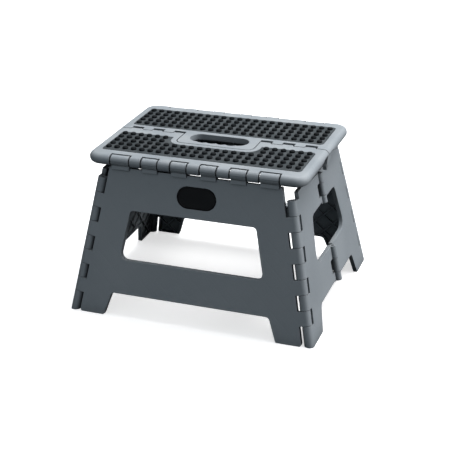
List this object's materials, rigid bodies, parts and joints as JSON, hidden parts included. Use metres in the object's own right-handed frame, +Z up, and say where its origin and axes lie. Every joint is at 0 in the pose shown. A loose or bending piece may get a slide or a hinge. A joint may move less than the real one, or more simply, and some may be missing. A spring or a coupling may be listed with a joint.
{
  "type": "folding step stool",
  "caption": "Folding plastic step stool: hinged studded tread with a hand slot, leaning windowed leg panels, and ends that fold in on corner hinges.",
  "frame": {"origin": "on the floor, under the middle of the open stool", "axes": "+X along the stool's length, -Y the badge side, +Z up"},
  "size_m": [0.333, 0.271, 0.2134],
  "materials": {
    "shell": "fine moulded texture, satin",
    "mat": "matt sheet",
    "stud": "soft matt dots",
    "pin": "drawn wire",
    "badge": "blank, smooth",
    "pad": "matt"
  },
  "bodies": {
    "front_leg": {"front_leg_panel": "shell", "badge_plate": "badge", "front_edge_pin": "pin", "corner_pin_front_right": "pin", "corner_pin_front_left": "pin", "foot_pad_front_left": "pad", "foot_pad_front_right": "pad"},
    "rear_leg": {"rear_leg_panel": "shell", "rear_edge_pin": "pin", "corner_pin_rear_right": "pin", "corner_pin_rear_left": "pin", "foot_pad_rear_left": "pad", "foot_pad_rear_right": "pad"},
    "tread_front": {"tread_front_half": "shell", "grip_mat_front": "mat", "grip_studs_front": "stud"},
    "tread_rear": {"tread_rear_half": "shell", "grip_mat_rear": "mat", "grip_studs_rear": "stud", "ridge_pin_right": "pin", "ridge_pin_left": "pin"},
    "left_end_front": {"left_end_front_half": "shell", "centre_pin_left_lower": "pin", "centre_pin_left_upper": "pin"},
    "left_end_rear": {"left_end_rear_half": "shell"},
    "right_end_front": {"right_end_front_half": "shell", "centre_pin_right_lower": "pin", "centre_pin_right_upper": "pin"},
    "right_end_rear": {"right_end_rear_half": "shell"}
  },
  "joints": [
    {"name": "left_end_fold", "type": "hinge", "parent": "left_end_front", "child": "left_end_rear", "pos_m": [-0.1684, 0, 0], "axis": [0.2014, 0, 0.9795], "range_deg": [0, 175.6]},
    {"name": "front_left_corner", "type": "hinge", "parent": "front_leg", "child": "left_end_front", "pos_m": [-0.15968, -0.12909, 0], "axis": [-0.1865, -0.179, -0.966], "range_deg": [0, 90]},
    {"name": "rear_left_corner", "type": "hinge", "parent": "left_end_rear", "child": "rear_leg", "pos_m": [-0.15968, 0.12909, 0], "axis": [-0.1865, 0.179, -0.966], "range_deg": [0, 90]},
    {"name": "front_right_corner", "type": "hinge", "parent": "front_leg", "child": "right_end_front", "pos_m": [0.15968, -0.12909, 0], "axis": [-0.1865, 0.179, 0.966], "range_deg": [0, 90]},
    {"name": "rear_right_corner", "type": "hinge", "parent": "rear_leg", "child": "right_end_rear", "pos_m": [0.15968, 0.12909, 0], "axis": [0.1865, 0.179, -0.966], "range_deg": [0, 90]},
    {"name": "front_tread_hinge", "type": "hinge", "parent": "front_leg", "child": "tread_front", "pos_m": [0, -0.098, 0.203], "axis": [1, 0, 0], "range_deg": [0, 82]},
    {"name": "rear_tread_hinge", "type": "hinge", "parent": "rear_leg", "child": "tread_rear", "pos_m": [0, 0.098, 0.203], "axis": [-1, 0, 0], "range_deg": [0, 82]}
  ],
  "couplings": [
    {"joint": "front_left_corner", "follows": "left_end_fold", "ratio": 0.51102},
    {"joint": "rear_left_corner", "follows": "left_end_fold", "ratio": 0.51102},
    {"joint": "front_right_corner", "follows": "left_end_fold", "ratio": 0.51102},
    {"joint": "rear_right_corner", "follows": "left_end_fold", "ratio": 0.51102},
    {"joint": "front_tread_hinge", "follows": "left_end_fold", "ratio": 0.45559},
    {"joint": "rear_tread_hinge", "follows": "left_end_fold", "ratio": 0.45559}
  ]
}
